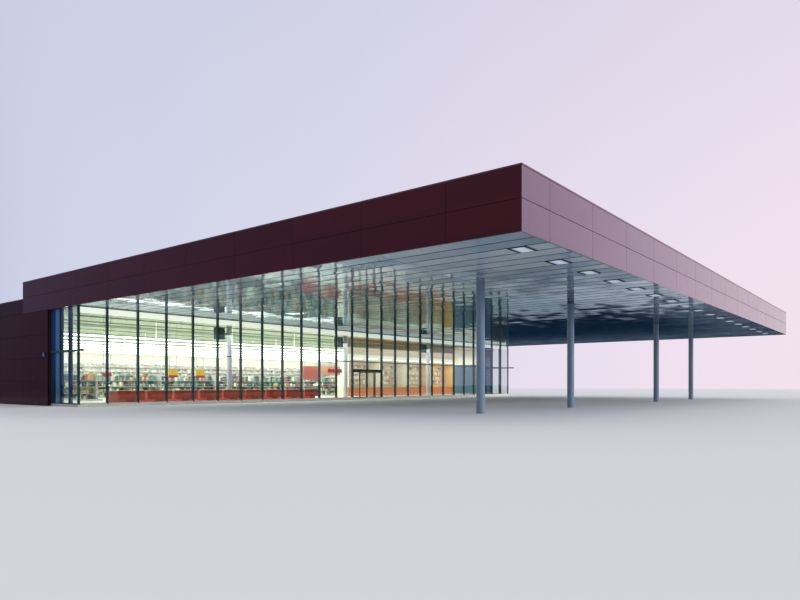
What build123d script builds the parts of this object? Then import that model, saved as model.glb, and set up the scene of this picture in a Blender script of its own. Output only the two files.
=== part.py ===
from build123d import *
import os

# Supermarket hall with a deep canopy, built as a 1:2 model. Lengths are millimetres of the model.
# +X points to the open end of the canopy, -Y is the long side seen first, +Z is up.
# The origin is on the ground under the middle of the plan, and the rear is the front mirrored.

# Plan
glass_bay = 1000.0
glass_bay_count = 26
canopy_depth = 14610.0
return_bay = 600.0
return_bay_count = 3
return_setback = 100.0
return_wall_length = 1875.0
wall_panel_length = 1855.0
low_hall_panel_count = 6

# Levels above the ground
floor_top = 75.0
sill_top = 115.0
rail_bottom = 1660.0
door_head = 1250.0
fascia_bottom = 3000.0
high_roof_top = 4040.0
low_roof_top = 3490.0

# Outer walls and their cladding
core_thickness = 110.0
panel_thickness = 40.0
panel_joint = 8.0
panel_mitre = 1.5
panel_fold = 3.0
panel_gap_to_ground = 20.0
long_fascia_first_panel = 1400.0
long_fascia_panel = 1876.0
cross_first_panel = 970.0
cross_panel = 1800.0
fascia_rows = 2
wall_rows = 4

# Roof
fascia_lip = 20.0
deck_thickness = 90.0
deck_fall = 50.0
high_parapet = 120.0
low_parapet = 60.0
girder_width = 220.0
girder_web = 60.0
girder_flange = 50.0
joist_count = 7
joist_width = 110.0
joist_web = 24.0
joist_flange = 24.0
coping_thickness = 12.0
coping_sheet = 6.0
coping_overhang = 6.0
coping_drip = 16.0
coping_joint = 3.0

# Soffit, with its fields counted from the open end
soffit_thickness = 30.0
soffit_edge_gap = 20.0
soffit_edge_field = 2100.0
soffit_column_margin = 40.0
soffit_joint = 14.0
soffit_strip_count = 53
soffit_groove_width = 20.0
soffit_groove_depth = 10.0

# Columns
column_diameter = 200.0
column_hole_clearance = 3.0
canopy_column_inset = 3175.0
canopy_column_side = 4000.0
canopy_column_spacing = 5000.0
hall_column_setback = 1400.0
hall_column_count = 3

# Glass wall
glass_thickness = 12.0
glass_joint = 8.0
fin_width = 38.0
fin_depth = 100.0
fin_nose = 7.0
fin_cap = 9.0
rail_height = 35.0
rail_depth = 50.0
head_box_height = 200.0
head_box_depth = 60.0
return_post = 60.0
return_frame_depth = 110.0
return_glass_inset = 20.0
return_lining = 10.0

# Entrance
door_bay_count = 2
header_height = 100.0
header_depth = 110.0
door_clearance = 8.0
hanger_clearance = 0.3
floor_clearance = 8.0
leaf_stile = 40.0
leaf_thickness = 30.0
leaf_glass = 10.0
leaf_meeting_gap = 6.0
hanger_length = 60.0
hanger_thickness = 12.0

# Lights and air units
soffit_light_first_strip = 2
soffit_light_strip_step = 3
soffit_light_inset = 662.0
soffit_light_length = 366.0
soffit_light_margin = 22.0
soffit_light_rim = 13.0
soffit_light_depth = 10.0
soffit_light_recess = 6.0
light_line_setback = 2600.0
light_line_pitch = 1850.0
light_line_drop = 650.0
light_line_width = 90.0
light_line_back = 46.0
light_line_depth = 45.0
light_line_hanger = 14.0
light_line_hanger_count = 3
light_line_side_gap = 600.0
air_unit_width = 315.0
air_unit_depth = 260.0
air_unit_height = 455.0
air_unit_drop = 175.0
air_unit_arm = 200.0
air_unit_arm_size = 50.0
wall_lamp_side = 230.0
wall_lamp_level = 1610.0
wall_lamp_width = 80.0
wall_lamp_height = 150.0
wall_lamp_depth = 45.0
wall_lamp_slope = 25.0

# Shop fittings seen through the glass
shelf_row_count = 9
shelf_level_count = 4
shelf_setback = 2800.0
shelf_length = 9000.0
shelf_height = 1000.0
shelf_depth = 440.0
shelf_spine = 30.0
shelf_board = 14.0
shelf_plinth = 60.0
checkout_count = 9
checkout_first_bay = 2
checkout_setback = 250.0
checkout_length = 1300.0
checkout_width = 380.0
checkout_height = 400.0
checkout_recess = 40.0
checkout_front_thickness = 30.0
checkout_front_width = 900.0
checkout_front_foot = 100.0
kiosk_setback = 1600.0
kiosk_start = 1900.0
kiosk_width = 2400.0
kiosk_count = 4
kiosk_depth = 850.0
kiosk_height = 1900.0
kiosk_wall = 50.0
kiosk_board = 80.0
kiosk_counter_height = 450.0
kiosk_counter_depth = 250.0

# Lines of the plan
width = glass_bay * glass_bay_count
hall_depth = return_bay * return_bay_count + return_wall_length + wall_panel_length * low_hall_panel_count
length = canopy_depth + hall_depth
x_open = length / 2
x_end = -length / 2
x_glass = x_open - canopy_depth
x_return = x_glass - return_bay * return_bay_count
x_step = x_return - return_wall_length
x_columns = x_open - canopy_column_inset
x_hall_columns = x_glass - hall_column_setback
x_kiosks = x_hall_columns - kiosk_setback
y_front = -width / 2
y_rear = width / 2
wall_thickness = panel_thickness + core_thickness
inner_front = y_front + wall_thickness
inner_rear = y_rear - wall_thickness
inner_end = x_end + wall_thickness
inner_open = x_open - wall_thickness

# Lines of the glass wall, from the outside in
x_fin = x_glass - glass_thickness
x_fin_back = x_fin - fin_depth
x_head_back = x_fin_back - head_box_depth
return_face = y_front + return_setback
return_back = return_face + return_frame_depth
corner_post = return_face + return_post

# Levels of the roof and the soffit
soffit_bottom = fascia_bottom + fascia_lip
soffit_top = soffit_bottom + soffit_thickness
high_deck_bottom = high_roof_top - high_parapet - deck_fall - deck_thickness
low_deck_bottom = low_roof_top - low_parapet - deck_fall - deck_thickness
high_wall_top = high_roof_top - coping_thickness
low_wall_top = low_roof_top - coping_thickness
rail_top = rail_bottom + rail_height

# The entrance, in the middle of the glass wall
first_door_line = (glass_bay_count - door_bay_count) // 2
last_door_line = first_door_line + door_bay_count
door_left = y_front + glass_bay * first_door_line
door_right = y_front + glass_bay * last_door_line
door_middle = (door_left + door_right) / 2
leaf_width = (door_right - door_left) / 4
header_top = door_head + header_height
side_light_back = x_fin - leaf_thickness
leaf_front = side_light_back - door_clearance
leaf_back = leaf_front - leaf_thickness


def block(x0, x1, y0, y1, z0, z1):
    """A rectangular solid between two corners."""
    return Pos((x0 + x1) / 2, (y0 + y1) / 2, (z0 + z1) / 2) * Box(x1 - x0, y1 - y0, z1 - z0)


def run_along_y(points, y0, y1):
    """A straight bar along Y, from the (x, z) points of its section."""
    face = make_face(Polyline([(x, y0, z) for x, z in points], close=True))
    return extrude(face, amount=y1 - y0, dir=(0, 1, 0))


def run_along_x(points, x0, x1):
    """A straight bar along X, from the (y, z) points of its section."""
    face = make_face(Polyline([(x0, y, z) for y, z in points], close=True))
    return extrude(face, amount=x1 - x0, dir=(1, 0, 0))


def run_along_z(points, z0, z1):
    """An upright bar, from the (x, y) points of its plan."""
    face = make_face(Polyline([(x, y, z0) for x, y in points], close=True))
    return extrude(face, amount=z1 - z0, dir=(0, 0, 1))


def round_bar(x, y, z0, z1, diameter):
    return Pos(x, y, z0) * extrude(Circle(diameter / 2), z1 - z0)


def evenly(start, end, count):
    """The edges of count equal stretches from start to end."""
    return [start + (end - start) * i / count for i in range(count + 1)]


def on_rear(solids):
    """The rear's pieces, as the front's mirrored across the middle of the plan."""
    return [mirror(solid, about=Plane.XZ) for solid in solids]


def on_both_sides(solids):
    return solids + on_rear(solids)


def joint_lines(start, end, first, pitch):
    """Panel joints from start to end: a first panel, then equal ones, the last taking up what is left."""
    way = 1 if end > start else -1
    lines = [start]
    here = start + way * first
    while way * (end - here) > pitch / 4:
        lines.append(here)
        here += way * pitch
    return sorted(lines + [end])


def wall_panel(xa, xb, za, zb, corner_a, corner_b):
    """One panel in its wall's own frame, X along the wall and Y into it, mitred at a corner."""
    half = panel_joint / 2
    face_a = xa + (panel_mitre if corner_a else half)
    face_b = xb - (panel_mitre if corner_b else half)
    back_a = face_a + (panel_thickness if corner_a else 0)
    back_b = face_b - (panel_thickness if corner_b else 0)
    plan = [(face_a, 0), (face_b, 0), (back_b, panel_thickness), (back_a, panel_thickness)]
    return run_along_z(plan, za + half, zb - half)


def fascia_panel(xa, xb, za, zb, corner_a, corner_b):
    """A wall panel whose front edges are folded back, except along a mitred corner."""
    panel = wall_panel(xa, xb, za, zb, corner_a, corner_b)
    edges = panel.faces().sort_by(Axis.Y)[0].edges().sort_by(Axis.X)
    return chamfer(edges[1 if corner_a else 0:-1 if corner_b else None], panel_fold)


def cladding(piece, place, x_lines, z_lines, corners):
    """Panels between all the lines of a wall, moved to its place. corners says which ends are mitred."""
    panels = []
    last = len(x_lines) - 2
    for i, (xa, xb) in enumerate(zip(x_lines, x_lines[1:])):
        for za, zb in zip(z_lines, z_lines[1:]):
            panel = piece(xa, xb, za, zb, corners[0] and i == 0, corners[1] and i == last)
            panels.append(place * panel)
    return panels


on_front = Pos(0, y_front, 0)
on_open_end = Pos(x_open, 0, 0) * Rot(0, 0, 90)
on_step = Pos(x_step, 0, 0) * Rot(0, 0, -90)
on_end = Pos(x_end, 0, 0) * Rot(0, 0, -90)

cross_lines = joint_lines(y_front, y_rear, cross_first_panel, cross_panel)
cross_lines_from_behind = [-y for y in reversed(cross_lines)]
low_hall_lines = evenly(x_end, x_step, low_hall_panel_count)
fascia_lines = joint_lines(x_open, x_step, long_fascia_first_panel, long_fascia_panel)
fascia_levels = evenly(fascia_bottom, high_wall_top, fascia_rows)
wall_levels = evenly(panel_gap_to_ground, fascia_bottom, wall_rows)


def front_wall_panels():
    """Wall panels up to the fascia's line, and one shallow row above it on the low part."""
    wall = cladding(wall_panel, on_front, low_hall_lines + [x_return], wall_levels, (True, False))
    return wall + cladding(wall_panel, on_front, low_hall_lines, [fascia_bottom, low_wall_top], (True, False))


def end_wall_panels():
    levels = wall_levels + [low_wall_top]
    return cladding(wall_panel, on_end, cross_lines_from_behind, levels, (True, True))


def front_fascia_panels():
    return cladding(fascia_panel, on_front, fascia_lines, fascia_levels, (True, True))


def open_end_fascia_panels():
    return cladding(fascia_panel, on_open_end, cross_lines, fascia_levels, (True, True))


def step_fascia_panels():
    levels = [low_wall_top, high_wall_top]
    return cladding(fascia_panel, on_step, cross_lines_from_behind, levels, (True, True))


def front_wall():
    """The core of the long wall: up to the low roof's edge, and lower under the high roof's beam."""
    x0, x1 = x_end + panel_thickness, x_step + panel_thickness
    outline = [(x0, 0), (x_return, 0), (x_return, soffit_top), (x1, soffit_top), (x1, low_wall_top),
               (x0, low_wall_top)]
    y0 = y_front + panel_thickness
    face = make_face(Polyline([(x, y0, z) for x, z in outline], close=True))
    return extrude(face, amount=core_thickness, dir=(0, 1, 0))


def end_wall():
    return block(x_end + panel_thickness, inner_end, inner_front, inner_rear, 0, low_wall_top)


def long_edge_beam():
    """The beam that the long fascia hangs on, from the roof step to the open end."""
    return block(x_step + panel_thickness, x_open - panel_thickness, y_front + panel_thickness, inner_front,
                 soffit_top, high_wall_top)


def open_edge_beam():
    return block(inner_open, x_open - panel_thickness, inner_front, inner_rear, soffit_top, high_wall_top)


def step_edge_beam():
    x0 = x_step + panel_thickness
    return block(x0, x0 + core_thickness, inner_front, inner_rear, soffit_top, high_wall_top)


def deck(x0, x1, bottom):
    """A flat roof's slab whose top falls gently from the middle to both long sides."""
    outline = [(inner_front, bottom), (inner_rear, bottom), (inner_rear, bottom + deck_thickness),
               (0, bottom + deck_thickness + deck_fall), (inner_front, bottom + deck_thickness)]
    return run_along_x(outline, x0, x1)


def i_section(middle, flange_width, web, flange, bottom, top):
    """The (across, up) points round an I section."""
    side, core = flange_width / 2, web / 2
    half = [(side, bottom), (side, bottom + flange), (core, bottom + flange), (core, top - flange),
            (side, top - flange), (side, top)]
    right = [(middle + across, up) for across, up in half]
    return right + [(middle - across, up) for across, up in reversed(half)]


def roof_girders():
    """Cross girders over the canopy columns and over the hall columns."""
    girders = []
    for x in (x_columns, x_hall_columns):
        section = i_section(x, girder_width, girder_web, girder_flange, soffit_top, high_deck_bottom)
        girders.append(run_along_y(section, inner_front, inner_rear))
    return girders


def roof_joists():
    """Joists along the building, each cut between the beams, the girders and the walls."""
    half = girder_width / 2
    spans = [(x_columns + half, inner_open, high_deck_bottom),
             (x_hall_columns + half, x_columns - half, high_deck_bottom),
             (x_step + wall_thickness, x_hall_columns - half, high_deck_bottom),
             (inner_end, x_step + panel_thickness, low_deck_bottom)]
    joists = []
    for y in evenly(y_front, y_rear, joist_count + 1)[1:-1]:
        for x0, x1, top in spans:
            section = i_section(y, joist_width, joist_web, joist_flange, soffit_top, top)
            joists.append(run_along_x(section, x0, x1))
    return joists


def coping_section(outer, inner, top):
    """A folded metal cap on a wall: its top falls inwards, and both edges turn down as drips."""
    way = 1 if outer > inner else -1
    face = outer + way * coping_overhang
    back = inner - way * coping_overhang
    under = top - coping_thickness
    foot = under - coping_drip
    face_fold, back_fold = face - way * coping_sheet, back + way * coping_sheet
    return [(face, top), (back, under + coping_sheet), (back, foot), (back_fold, foot), (back_fold, under),
            (face_fold, under), (face_fold, foot), (face, foot)]


def long_coping(x0, x1, x1_inner, top):
    """The front's cap from x0 to x1, cut to a mitre at x0, and at x1 where x1_inner lies further in."""
    outer, inner = y_front - coping_overhang, inner_front + coping_overhang
    x0_inner = x0 + wall_thickness + 2 * coping_overhang
    gap = coping_joint / 2
    plan = [(x0 + gap, outer), (x1 - gap, outer), (x1_inner - gap, inner), (x0_inner + gap, inner)]
    cap = run_along_x(coping_section(y_front, inner_front, top), x0, x1)
    return cap & run_along_z(plan, top - high_parapet, top + coping_thickness)


def cross_coping(face, inside, top):
    """A cap across the building over the wall between two X lines, mitred at both ends."""
    way = 1 if face > inside else -1
    outer, inner = face + way * coping_overhang, inside - way * coping_overhang
    half_outer = width / 2 + coping_overhang - coping_joint / 2
    half_inner = half_outer - wall_thickness - 2 * coping_overhang
    plan = [(outer, -half_outer), (outer, half_outer), (inner, half_inner), (inner, -half_inner)]
    cap = run_along_y(coping_section(face, inside, top), -half_outer, half_outer)
    return cap & run_along_z(plan, top - high_parapet, top + coping_thickness)


def copings():
    """The high roof's caps on its four sides, and the low roof's on three, up to the step."""
    over = coping_overhang
    open_inner = inner_open - over
    high = long_coping(x_step - over, x_open + over, open_inner, high_roof_top)
    low = long_coping(x_end - over, x_step, x_step, low_roof_top)
    across = [cross_coping(x_open, inner_open, high_roof_top),
              cross_coping(x_step, x_step + wall_thickness, high_roof_top),
              cross_coping(x_end, inner_end, low_roof_top)]
    return on_both_sides([high, low]) + across


canopy_column_y = [y_front + canopy_column_side, y_front + canopy_column_side + canopy_column_spacing]
canopy_column_places = [(x_columns, side * y) for side in (1, -1) for y in canopy_column_y]
hall_column_places = [(x_hall_columns, y) for y in evenly(y_front, y_rear, hall_column_count + 1)[1:-1]]


def columns(places, foot):
    """Round steel columns from their foot up through the soffit to their girder."""
    return [round_bar(x, y, foot, soffit_top, column_diameter) for x, y in places]


def with_column_holes(sheet, places):
    for x, y in places:
        sheet -= round_bar(x, y, soffit_bottom, soffit_top, column_diameter + 2 * column_hole_clearance)
    return sheet


soffit_front = y_front + panel_thickness + soffit_edge_gap
soffit_lines = evenly(soffit_front, -soffit_front, soffit_strip_count)
soffit_open = x_open - panel_thickness - soffit_edge_gap
column_strip_half = column_diameter / 2 + soffit_column_margin


def soffit_section():
    """The outline across a field of metal strips, with a groove below at each joint of two strips."""
    outline = [(soffit_lines[0], soffit_top), (soffit_lines[0], soffit_bottom)]
    for y in soffit_lines[1:-1]:
        outline += [(y - soffit_groove_width / 2, soffit_bottom), (y, soffit_bottom + soffit_groove_depth),
                    (y + soffit_groove_width / 2, soffit_bottom)]
    return outline + [(soffit_lines[-1], soffit_bottom), (soffit_lines[-1], soffit_top)]


def soffit_fields():
    """The strips in three fields: the open edge, up to the columns, and on to the glass."""
    edges = [soffit_open, x_open - soffit_edge_field, x_columns + column_strip_half]
    fields = [(edges[1], edges[0]), (edges[2] + soffit_joint, edges[1] - soffit_joint),
              (x_glass + soffit_joint, x_columns - column_strip_half - soffit_joint)]
    return [run_along_x(soffit_section(), x0, x1) for x0, x1 in fields]


def soffit_column_strip():
    """The plain closing strip across the canopy that the columns come through."""
    strip = block(x_columns - column_strip_half, x_columns + column_strip_half,
                  soffit_lines[0], soffit_lines[-1], soffit_bottom, soffit_top)
    return with_column_holes(strip, canopy_column_places)


def hall_ceiling():
    """The hall's ceiling between the walls, and out to the soffit's edge over the glazed returns."""
    ceiling = block(inner_end, x_return, inner_front, inner_rear, soffit_bottom, soffit_top)
    ceiling += block(x_return, x_glass, soffit_lines[0], soffit_lines[-1], soffit_bottom, soffit_top)
    return with_column_holes(ceiling, hall_column_places)


def floor_slab():
    """The hall's floor between the walls, and out under the glazed returns."""
    return (block(inner_end, x_return, inner_front, inner_rear, 0, floor_top)
            + block(x_return, x_glass, return_face, -return_face, 0, floor_top))


def fin_plan(y):
    """A post's box behind the glass, its tongue through the glass joint and its cap outside."""
    side, tongue = fin_width / 2, glass_joint / 2
    half = [(x_glass + fin_cap, side), (x_glass, side), (x_glass, tongue), (x_fin, tongue), (x_fin, side),
            (x_fin_back + fin_nose, side), (x_fin_back, side - fin_nose)]
    return [(x, y + across) for x, across in half] + [(x, y - across) for x, across in half[::-1]]


def glass_wall_fins():
    """Slim posts between the bays, shorter over the door header, and square posts at the corners."""
    fins = []
    for i in range(1, glass_bay_count):
        foot = header_top if first_door_line < i < last_door_line else floor_top
        fins.append(run_along_z(fin_plan(y_front + glass_bay * i), foot, soffit_bottom))
    corner = block(x_glass - return_post, x_glass, return_face, corner_post, floor_top, soffit_bottom)
    return fins + on_both_sides([corner])


def bay_ends(i, margin, corner):
    """The two ends along Y of what fills a bay: margin from the posts' middles, and clear of a corner line."""
    y0 = y_front + glass_bay * i + margin
    y1 = y_front + glass_bay * (i + 1) - margin
    if i == 0:
        y0 = corner + glass_joint / 2
    if i == glass_bay_count - 1:
        y1 = -corner - glass_joint / 2
    return y0, y1


def lower_panes():
    """One sheet a bay from the sill to the rail, and from the door header in the door bays."""
    panes = []
    top = rail_bottom + (rail_height - glass_joint) / 2
    for i in range(glass_bay_count):
        foot = header_top if first_door_line <= i < last_door_line else sill_top
        panes.append(block(x_fin, x_glass, *bay_ends(i, glass_joint / 2, corner_post), foot, top))
    return panes


def upper_panes():
    foot = rail_bottom + (rail_height + glass_joint) / 2
    return [block(x_fin, x_glass, *bay_ends(i, glass_joint / 2, corner_post), foot, soffit_bottom)
            for i in range(glass_bay_count)]


def glass_wall_rail():
    """A thin rail behind the joint of the two rows of glass, cut between the posts."""
    return [block(x_fin - rail_depth, x_fin, *bay_ends(i, fin_width / 2, return_back), rail_bottom, rail_top)
            for i in range(glass_bay_count)]


def head_box():
    """The white box along the top of the glass wall, behind the posts."""
    foot = soffit_bottom - head_box_height
    return block(x_head_back, x_fin_back, return_back, -return_back, foot, soffit_bottom)


def sills():
    """A low sill under the glass, left open at the entrance, with its top falling outwards."""
    section = [(x_glass, floor_top), (x_glass, sill_top - glass_thickness), (x_fin, sill_top),
               (x_fin, floor_top)]
    ends = [corner_post] + [y_front + glass_bay * i for i in range(1, glass_bay_count)] + [-corner_post]
    pieces = []
    for i, (y0, y1) in enumerate(zip(ends, ends[1:])):
        if not first_door_line <= i < last_door_line:
            start = y0 if i == 0 else y0 + glass_joint / 2
            end = y1 if i == glass_bay_count - 1 else y1 - glass_joint / 2
            pieces.append(run_along_y(section, start, end))
    return pieces


def return_openings():
    """The (x0, x1, z0, z1) openings between a return frame's posts and rails."""
    lines = evenly(x_return, x_glass, return_bay_count)
    half = return_post / 2
    openings = []
    for i, (xa, xb) in enumerate(zip(lines, lines[1:])):
        x0 = xa + (return_post if i == 0 else half)
        x1 = xb - (return_post if i == return_bay_count - 1 else half)
        openings += [(x0, x1, sill_top, rail_bottom), (x0, x1, rail_top, soffit_bottom - half)]
    return openings


def return_frame():
    """A ladder of posts and rails from the wall to the corner post, with a lining of the wall's edge."""
    frame = block(x_return, x_glass - return_post, return_face, return_back, floor_top, soffit_bottom)
    for x0, x1, z0, z1 in return_openings():
        frame -= block(x0, x1, return_face, return_back, z0, z1)
    y0 = y_front + panel_thickness
    return frame + block(x_return, x_return + return_lining, y0, return_face, floor_top, soffit_bottom)


def return_panes():
    """Glass in each opening of a return frame, let in face to face."""
    y0 = return_face + return_glass_inset
    return [block(x0, x1, y0, y0 + glass_thickness, z0, z1) for x0, x1, z0, z1 in return_openings()]


def door_header():
    """The box over the doors, from post to post, that holds the track."""
    return block(x_glass - header_depth, x_glass, door_left + fin_width / 2, door_right - fin_width / 2,
                 door_head, header_top)


def framed_sheet(x0, x1, y0, y1, z0, z1):
    """An upright frame of four bars with an opening for its glass."""
    frame = block(x0, x1, y0, y1, z0, z1)
    return frame - block(x0, x1, y0 + leaf_stile, y1 - leaf_stile, z0 + leaf_stile, z1 - leaf_stile)


def sheet_glass(x0, x1, y0, y1, z0, z1):
    """The glass of a framed sheet, in the middle of its thickness."""
    middle = (x0 + x1) / 2
    return block(middle - leaf_glass / 2, middle + leaf_glass / 2, y0 + leaf_stile, y1 - leaf_stile,
                 z0 + leaf_stile, z1 - leaf_stile)


side_light_ends = [(door_left + fin_width / 2, door_left + leaf_width),
                   (door_right - leaf_width, door_right - fin_width / 2)]
side_lights = [(side_light_back, x_fin, y0, y1, floor_top, door_head) for y0, y1 in side_light_ends]


def leaf_sizes(side):
    """The place of the left (-1) or right (+1) sliding leaf when closed."""
    near = door_middle + side * leaf_meeting_gap / 2
    far = door_middle + side * leaf_width
    return (leaf_back, leaf_front, min(near, far), max(near, far), floor_top + floor_clearance,
            door_head - door_clearance)


def leaf_frame(side):
    """A sliding leaf's frame with two hangers up to the header."""
    x0, x1, y0, y1, z0, z1 = leaf_sizes(side)
    frame = framed_sheet(x0, x1, y0, y1, z0, z1)
    middle = (x0 + x1) / 2
    for y in (y0 + leaf_stile + hanger_length / 2, y1 - leaf_stile - hanger_length / 2):
        frame += block(middle - hanger_thickness / 2, middle + hanger_thickness / 2, y - hanger_length / 2,
                       y + hanger_length / 2, z1, door_head - hanger_clearance)
    return frame


def soffit_lights():
    """Flush fittings under the soffit, one in every third strip, each a shallow tray with a rim."""
    lights = []
    x0 = x_open - soffit_light_inset - soffit_light_length / 2
    x1 = x0 + soffit_light_length
    foot = soffit_bottom - soffit_light_depth
    rim = soffit_light_rim
    last = soffit_strip_count - soffit_light_first_strip
    for i in range(soffit_light_first_strip, last, soffit_light_strip_step):
        y0, y1 = soffit_lines[i] + soffit_light_margin, soffit_lines[i + 1] - soffit_light_margin
        tray = block(x0, x1, y0, y1, foot, soffit_bottom)
        lights.append(tray - block(x0 + rim, x1 - rim, y0 + rim, y1 - rim, foot, foot + soffit_light_recess))
    return lights


def hall_light_lines():
    """Long lights across the hall, hung from the ceiling. In front of the kiosks they end short of them."""
    z1 = soffit_bottom - light_line_drop
    z0 = z1 - light_line_depth
    half, back = light_line_width / 2, light_line_back / 2
    y0 = inner_front + light_line_side_gap
    lines = []
    for x in joint_lines(x_glass, inner_end, light_line_setback, light_line_pitch)[1:-1]:
        y1 = kiosk_start - light_line_side_gap if x > x_kiosks else -y0
        line = run_along_y([(x - half, z0), (x + half, z0), (x + back, z1), (x - back, z1)], y0, y1)
        for y in evenly(y0, y1, light_line_hanger_count + 1)[1:-1]:
            bar = light_line_hanger / 2
            line += block(x - bar, x + bar, y - bar, y + bar, z1, soffit_bottom)
        lines.append(line)
    return lines


def column_air_units():
    """A box on a short arm beside the top of each hall column."""
    units = []
    z1 = soffit_bottom - air_unit_drop
    middle = z1 - air_unit_height / 2
    half = air_unit_arm_size / 2
    for x, y in hall_column_places:
        near = y - column_diameter / 2 - air_unit_arm
        box = block(x - air_unit_depth / 2, x + air_unit_depth / 2, near - air_unit_width, near,
                    z1 - air_unit_height, z1)
        arm = block(x - half, x + half, near, y, middle - half, middle + half)
        units.append(box + (arm - round_bar(x, y, floor_top, soffit_top, column_diameter)))
    return units


def wall_lamp():
    """A small lamp on the front wall beside the glazed return, with a sloping underside."""
    x0 = x_return - wall_lamp_side
    top, foot = wall_lamp_level + wall_lamp_height / 2, wall_lamp_level - wall_lamp_height / 2
    outer = y_front - wall_lamp_depth
    section = [(y_front, foot), (outer, foot + wall_lamp_slope), (outer, top), (y_front, top)]
    return run_along_x(section, x0 - wall_lamp_width / 2, x0 + wall_lamp_width / 2)


def shelf_rows():
    """Double sided shop shelves, each a plinth, a spine and boards on both of its sides."""
    x1 = x_hall_columns - shelf_setback
    x0 = x1 - shelf_length
    half = shelf_depth / 2
    top = floor_top + shelf_height
    rows = []
    for y in evenly(inner_front, inner_rear, shelf_row_count + 1)[1:-1]:
        row = block(x0, x1, y - shelf_spine / 2, y + shelf_spine / 2, floor_top, top)
        for z in evenly(floor_top, top, shelf_level_count)[:-1]:
            board = shelf_plinth if z == floor_top else shelf_board
            row += block(x0, x1, y - half, y + half, z, z + board)
        rows.append(row)
    return rows


def checkout_counters():
    """Till desks in a row behind the glass, each a recessed base and a top behind a wide front panel."""
    desks = []
    x1 = x_head_back - checkout_setback
    x0 = x1 - checkout_length
    front = x1 - checkout_front_thickness
    front_half = checkout_front_width / 2
    top = floor_top + checkout_height
    half, core = checkout_width / 2, checkout_width / 2 - checkout_recess
    for i in range(checkout_count):
        y = y_front + glass_bay * (checkout_first_bay + i)
        section = [(y - half, floor_top), (y + half, floor_top), (y + half, floor_top + checkout_recess),
                   (y + core, floor_top + checkout_recess), (y + core, top - checkout_recess),
                   (y + half, top - checkout_recess), (y + half, top), (y - half, top),
                   (y - half, top - checkout_recess), (y - core, top - checkout_recess),
                   (y - core, floor_top + checkout_recess), (y - half, floor_top + checkout_recess)]
        desks.append(run_along_x(section, x0, front)
                     + block(front, x1, y - front_half, y + front_half, floor_top + checkout_front_foot, top))
    return desks


def kiosk_row():
    """Small shops side by side behind the hall columns: back and side walls, a counter in each opening,
    a flat roof, and over the openings a board up to the hall's ceiling."""
    back = x_kiosks - kiosk_depth
    top = kiosk_height + kiosk_wall
    lines = evenly(kiosk_start, kiosk_start + kiosk_width * kiosk_count, kiosk_count)
    first, last = lines[0], lines[-1]
    row = block(back, back + kiosk_wall, first, last, floor_top, top)
    row += block(back, x_kiosks, first, last, kiosk_height, top)
    row += block(x_kiosks - kiosk_board, x_kiosks, first, last, kiosk_height, soffit_bottom)
    counter_back = x_kiosks - kiosk_counter_depth
    row += block(counter_back, x_kiosks, first, last, floor_top, floor_top + kiosk_counter_height)
    for y in evenly(first, last - kiosk_wall, kiosk_count):
        row += block(back, x_kiosks, y, y + kiosk_wall, floor_top, kiosk_height)
    return row


def write(name, solids):
    """One file for one named piece."""
    shape = Compound(children=list(solids)) if isinstance(solids, list) else solids
    export_step(shape, f"parts/{name}.step")


os.makedirs("parts", exist_ok=True)

write("floor_slab", floor_slab())
write("front_wall", front_wall())
write("rear_wall", on_rear([front_wall()]))
write("end_wall", end_wall())
write("front_wall_cladding", front_wall_panels())
write("rear_wall_cladding", on_rear(front_wall_panels()))
write("end_wall_cladding", end_wall_panels())

write("front_fascia", front_fascia_panels())
write("rear_fascia", on_rear(front_fascia_panels()))
write("open_end_fascia", open_end_fascia_panels())
write("step_fascia", step_fascia_panels())
write("long_edge_beams", on_both_sides([long_edge_beam()]))
write("cross_edge_beams", [open_edge_beam(), step_edge_beam()])

write("high_roof_deck", deck(x_step + wall_thickness, inner_open, high_deck_bottom))
write("low_roof_deck", deck(inner_end, x_step + panel_thickness, low_deck_bottom))
write("roof_girders", roof_girders())
write("roof_joists", roof_joists())
write("roof_copings", copings())

write("soffit_fields", soffit_fields())
write("soffit_column_strip", soffit_column_strip())
write("hall_ceiling", hall_ceiling())
write("canopy_columns", columns(canopy_column_places, 0))
write("hall_columns", columns(hall_column_places, floor_top))

write("glass_wall_fins", glass_wall_fins())
write("glass_wall_rail", glass_wall_rail())
write("glass_wall_head_box", head_box())
write("glass_wall_sills", sills())
write("glass_wall_lower_panes", lower_panes())
write("glass_wall_upper_panes", upper_panes())
write("return_frames", on_both_sides([return_frame()]))
write("return_panes", on_both_sides(return_panes()))

write("entrance_header", door_header())
write("entrance_side_frames", [framed_sheet(*sizes) for sizes in side_lights])
write("entrance_side_glass", [sheet_glass(*sizes) for sizes in side_lights])
for side, word in ((-1, "left"), (1, "right")):
    write(f"{word}_door_frame", leaf_frame(side))
    write(f"{word}_door_glass", sheet_glass(*leaf_sizes(side)))

write("soffit_lights", soffit_lights())
write("hall_light_lines", hall_light_lines())
write("column_air_units", column_air_units())
write("wall_lamps", on_both_sides([wall_lamp()]))
write("shelf_rows", shelf_rows())
write("checkout_counters", checkout_counters())
write("kiosk_row", kiosk_row())
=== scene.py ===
import math
import random

import bmesh
import bpy
from mathutils import Matrix, Vector


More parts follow.
